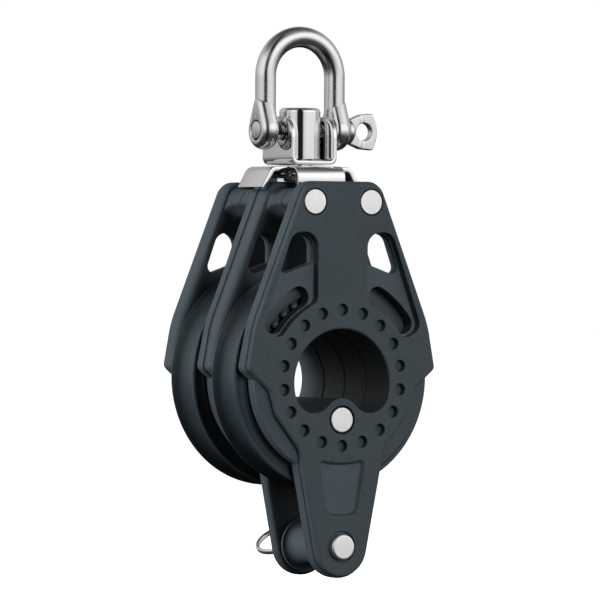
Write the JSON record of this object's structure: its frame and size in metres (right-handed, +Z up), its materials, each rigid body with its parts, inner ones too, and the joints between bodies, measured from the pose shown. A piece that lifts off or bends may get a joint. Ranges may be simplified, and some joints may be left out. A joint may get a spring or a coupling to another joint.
{
  "type": "double ball-bearing block with swivel shackle and becket",
  "caption": "Double rope block: two sheaves on ball bearings round an open hub between moulded cheeks, with a swivelling bow shackle on top and a becket with a spool below.",
  "frame": {"origin": "on the sheave axis, at the seam between the two middle cheeks", "axes": "+X to the right seen from the becket side, towards the shackle pin's tab; +Y from the front cheek to the rear cheek, along the sheave axis; +Z up towards the shackle"},
  "size_m": [0.075, 0.0606, 0.1858],
  "materials": {
    "nylon": "matt moulded, glass-filled",
    "acetal": "satin moulded",
    "ball": "ground smooth",
    "polished_steel": "mirror polished stainless",
    "forged_steel": "tumbled and polished stainless",
    "satin_steel": "satin stainless"
  },
  "bodies": {
    "shackle": {"shackle_bow": "forged_steel"},
    "shackle_pin": {"shackle_pin": "forged_steel"},
    "post": {"head_post": "polished_steel", "lock_plate": "polished_steel", "swivel_washer": "polished_steel", "swivel_nut": "polished_steel"},
    "frame": {"front_cheek": "nylon", "middle_cheek_front": "nylon", "middle_cheek_rear": "nylon", "rear_cheek": "nylon", "saddle": "polished_steel", "head_pin_left": "satin_steel", "head_pin_right": "satin_steel", "hub_pin": "satin_steel"},
    "front_sheave": {"front_sheave": "acetal"},
    "rear_sheave": {"rear_sheave": "acetal"},
    "front_load_train": {"front_load_balls": "ball"},
    "rear_load_train": {"rear_load_balls": "ball"},
    "front_thrust_train": {"front_thrust_balls_front": "ball", "front_thrust_balls_rear": "ball"},
    "rear_thrust_train": {"rear_thrust_balls_front": "ball", "rear_thrust_balls_rear": "ball"},
    "becket_pin": {"becket_pin": "satin_steel"},
    "becket_spool": {"becket_spool": "nylon"},
    "split_ring": {"split_ring": "forged_steel"}
  },
  "joints": [
    {"name": "shackle_pin_draw", "type": "slide", "parent": "shackle", "child": "shackle_pin", "axis": [1, 0, 0], "range_m": [0, 0.036]},
    {"name": "head_tilt", "type": "hinge", "parent": "shackle", "child": "post", "pos_m": [0, 0, 0.0833], "axis": [1, 0, 0], "range_deg": [-100, 100]},
    {"name": "head_swivel", "type": "hinge", "parent": "post", "child": "frame", "pos_m": [0, 0, 0.0713], "axis": [0, 0, 1], "continuous": true},
    {"name": "front_sheave_spin", "type": "hinge", "parent": "frame", "child": "front_sheave", "pos_m": [0, -0.014, 0], "axis": [0, 1, 0], "continuous": true},
    {"name": "rear_sheave_spin", "type": "hinge", "parent": "frame", "child": "rear_sheave", "pos_m": [0, 0.014, 0], "axis": [0, 1, 0], "continuous": true},
    {"name": "front_load_roll", "type": "hinge", "parent": "frame", "child": "front_load_train", "pos_m": [0, -0.014, 0], "axis": [0, 1, 0], "continuous": true},
    {"name": "rear_load_roll", "type": "hinge", "parent": "frame", "child": "rear_load_train", "pos_m": [0, 0.014, 0], "axis": [0, 1, 0], "continuous": true},
    {"name": "front_thrust_roll", "type": "hinge", "parent": "frame", "child": "front_thrust_train", "pos_m": [0, -0.014, 0], "axis": [0, 1, 0], "continuous": true},
    {"name": "rear_thrust_roll", "type": "hinge", "parent": "frame", "child": "rear_thrust_train", "pos_m": [0, 0.014, 0], "axis": [0, 1, 0], "continuous": true},
    {"name": "becket_pin_turn", "type": "hinge", "parent": "frame", "child": "becket_pin", "pos_m": [0, 0, -0.0567], "axis": [0, 1, 0], "continuous": true},
    {"name": "becket_spool_spin", "type": "hinge", "parent": "frame", "child": "becket_spool", "pos_m": [0, -0.01345, -0.0567], "axis": [0, 1, 0], "continuous": true},
    {"name": "split_ring_swing", "type": "hinge", "parent": "becket_pin", "child": "split_ring", "pos_m": [0, 0.0022, -0.0567], "axis": [0.866, 0, 0.5], "range_deg": [-95, 75]}
  ],
  "couplings": [
    {"joint": "front_load_roll", "follows": "front_sheave_spin", "ratio": 0.5461},
    {"joint": "rear_load_roll", "follows": "rear_sheave_spin", "ratio": 0.5461},
    {"joint": "front_thrust_roll", "follows": "front_sheave_spin", "ratio": 0.5},
    {"joint": "rear_thrust_roll", "follows": "rear_sheave_spin", "ratio": 0.5}
  ]
}
